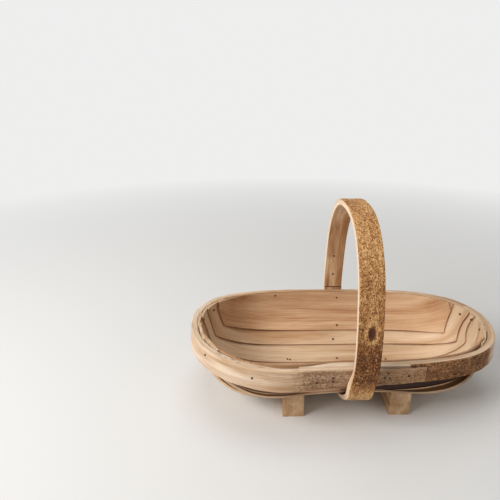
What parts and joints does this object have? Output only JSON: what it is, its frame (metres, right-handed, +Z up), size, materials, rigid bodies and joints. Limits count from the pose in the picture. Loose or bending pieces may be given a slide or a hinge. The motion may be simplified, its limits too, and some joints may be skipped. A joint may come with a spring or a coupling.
{
  "type": "garden_trug",
  "caption": "A wooden garden trug: boat-shaped basket of lapped thin boards in a bent rim, with a hoop handle that runs under the basket and cross feet",
  "frame": {"origin": "on the ground under the middle of the hoop, level with the middle of the basket's length", "axes": "+X along the basket, +Y across it away from the lapped side of the rim, +Z up"},
  "size_m": [0.4038, 0.2259, 0.2609],
  "materials": {
    "rim_wood": "rough",
    "hoop_wood": "rough",
    "board_wood": "rough",
    "foot_wood": "rough",
    "tack_steel": "satin"
  },
  "bodies": {
    "root": {"rim": "rim_wood", "bow": "hoop_wood", "strap": "hoop_wood", "centre_board": "board_wood", "far_inner_board": "board_wood", "near_inner_board": "board_wood", "far_middle_board": "board_wood", "near_middle_board": "board_wood", "far_side_board": "board_wood", "near_side_board": "board_wood", "left_foot": "foot_wood", "right_foot": "foot_wood", "far_side_tacks": "tack_steel", "near_side_tacks": "tack_steel", "rim_lap_tacks": "tack_steel", "left_end_tacks": "tack_steel", "right_end_tacks": "tack_steel", "far_leg_tacks": "tack_steel", "near_leg_tacks": "tack_steel", "strap_tacks": "tack_steel", "left_foot_tacks": "tack_steel", "right_foot_tacks": "tack_steel"}
  },
  "joints": []
}
